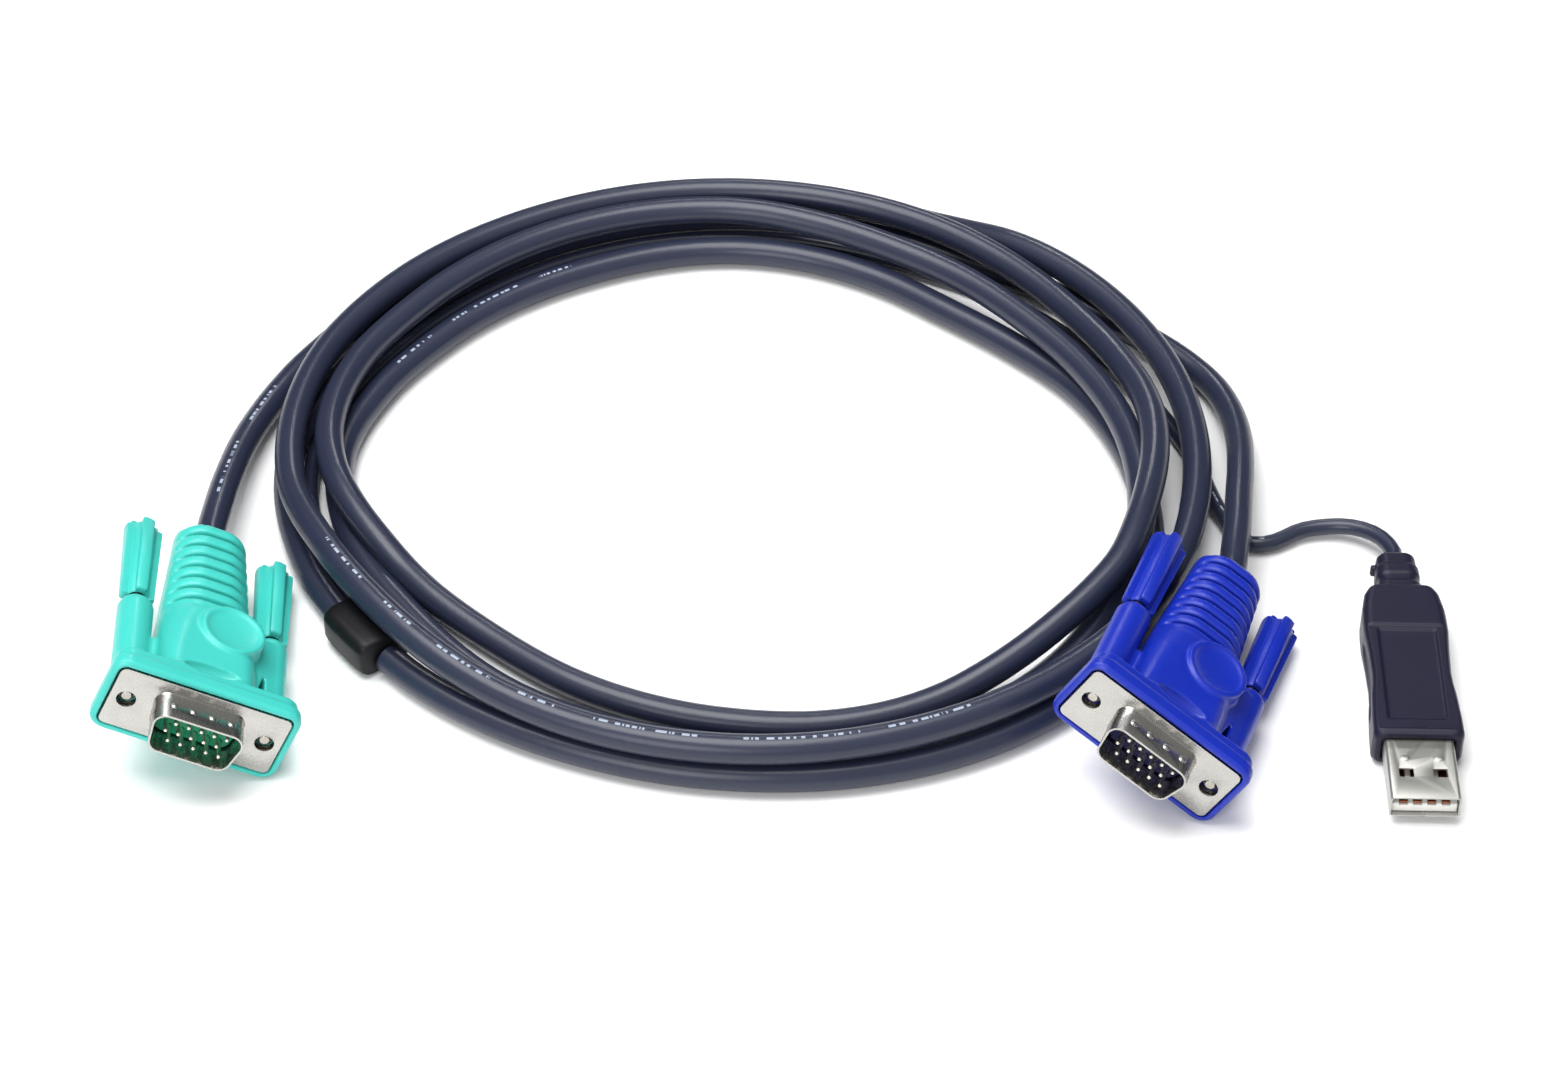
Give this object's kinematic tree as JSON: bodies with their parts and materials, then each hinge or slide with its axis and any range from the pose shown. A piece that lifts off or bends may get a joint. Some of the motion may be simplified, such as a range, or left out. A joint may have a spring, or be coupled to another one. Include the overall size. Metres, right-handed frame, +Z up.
{
  "type": "kvm cable",
  "caption": "Coiled switch cable: teal D-shaped plug at one end; a junction splits it to a blue D-shaped plug and a flat plug.",
  "frame": {"origin": "on the surface that the cable lies on, under the middle of the box round the plugs; z = 0 is that surface", "axes": "+X runs along the row of plugs from the teal one to the flat one, +Y runs from the plugs towards the coil, +Z is up"},
  "size_m": [0.2354, 0.177, 0.0284],
  "materials": {
    "teal_plastic": "moulded, soft sheen",
    "blue_plastic": "moulded, soft sheen",
    "navy_plastic": "moulded, satin",
    "cable_jacket": "smooth flexible jacket with a sheen",
    "junction_rubber": "moulded, satin",
    "plated_steel": "nickel plated, slightly dull",
    "screw_steel": "nickel plated thread",
    "gold_contact": "gold plated",
    "green_insulator": "moulded",
    "dark_insulator": "moulded",
    "white_plastic": "moulded"
  },
  "bodies": {
    "cable": {"blue_front_shell": "plated_steel", "blue_hood": "blue_plastic", "blue_insulator": "dark_insulator", "blue_pin_01": "gold_contact", "blue_pin_02": "gold_contact", "blue_pin_03": "gold_contact", "blue_pin_04": "gold_contact", "blue_pin_05": "gold_contact", "blue_pin_06": "gold_contact", "blue_pin_07": "gold_contact", "blue_pin_08": "gold_contact", "blue_pin_09": "gold_contact", "blue_pin_10": "gold_contact", "blue_pin_11": "gold_contact", "blue_pin_12": "gold_contact", "blue_pin_13": "gold_contact", "blue_pin_14": "gold_contact", "blue_pin_15": "gold_contact", "blue_rear_shell": "plated_steel", "branch_cable": "cable_jacket", "junction": "junction_rubber", "teal_front_shell": "plated_steel", "teal_hood": "teal_plastic", "teal_insulator": "green_insulator", "teal_pin_01": "gold_contact", "teal_pin_02": "gold_contact", "teal_pin_03": "gold_contact", "teal_pin_04": "gold_contact", "teal_pin_05": "gold_contact", "teal_pin_06": "gold_contact", "teal_pin_07": "gold_contact", "teal_pin_08": "gold_contact", "teal_pin_09": "gold_contact", "teal_pin_10": "gold_contact", "teal_pin_11": "gold_contact", "teal_pin_12": "gold_contact", "teal_pin_13": "gold_contact", "teal_pin_14": "gold_contact", "teal_pin_15": "gold_contact", "teal_rear_shell": "plated_steel", "thin_lead": "cable_jacket", "trunk_cable": "cable_jacket", "usb_body": "navy_plastic", "usb_contact_1": "gold_contact", "usb_contact_2": "gold_contact", "usb_contact_3": "gold_contact", "usb_contact_4": "gold_contact", "usb_shell": "plated_steel", "usb_tongue": "white_plastic"},
    "teal_left_thumbscrew": {"teal_left_knob": "teal_plastic", "teal_left_screw": "screw_steel"},
    "teal_right_thumbscrew": {"teal_right_knob": "teal_plastic", "teal_right_screw": "screw_steel"},
    "blue_left_thumbscrew": {"blue_left_knob": "blue_plastic", "blue_left_screw": "screw_steel"},
    "blue_right_thumbscrew": {"blue_right_knob": "blue_plastic", "blue_right_screw": "screw_steel"}
  },
  "joints": [
    {"name": "teal_left_screw_turn", "type": "hinge", "parent": "cable", "child": "teal_left_thumbscrew", "pos_m": [-0.11268, 0.00831, 0.0172], "axis": [-0.0643, 0.9943, -0.0854], "continuous": true},
    {"name": "teal_right_screw_turn", "type": "hinge", "parent": "cable", "child": "teal_right_thumbscrew", "pos_m": [-0.09036, 0.00879, 0.00598], "axis": [-0.0643, 0.9943, -0.0854], "continuous": true},
    {"name": "blue_left_screw_turn", "type": "hinge", "parent": "cable", "child": "blue_left_thumbscrew", "pos_m": [0.06155, 0.00535, 0.01792], "axis": [0.3519, 0.9313, -0.0941], "continuous": true},
    {"name": "blue_right_screw_turn", "type": "hinge", "parent": "cable", "child": "blue_right_thumbscrew", "pos_m": [0.08151, -0.00343, 0.00571], "axis": [0.3519, 0.9313, -0.0941], "continuous": true}
  ]
}
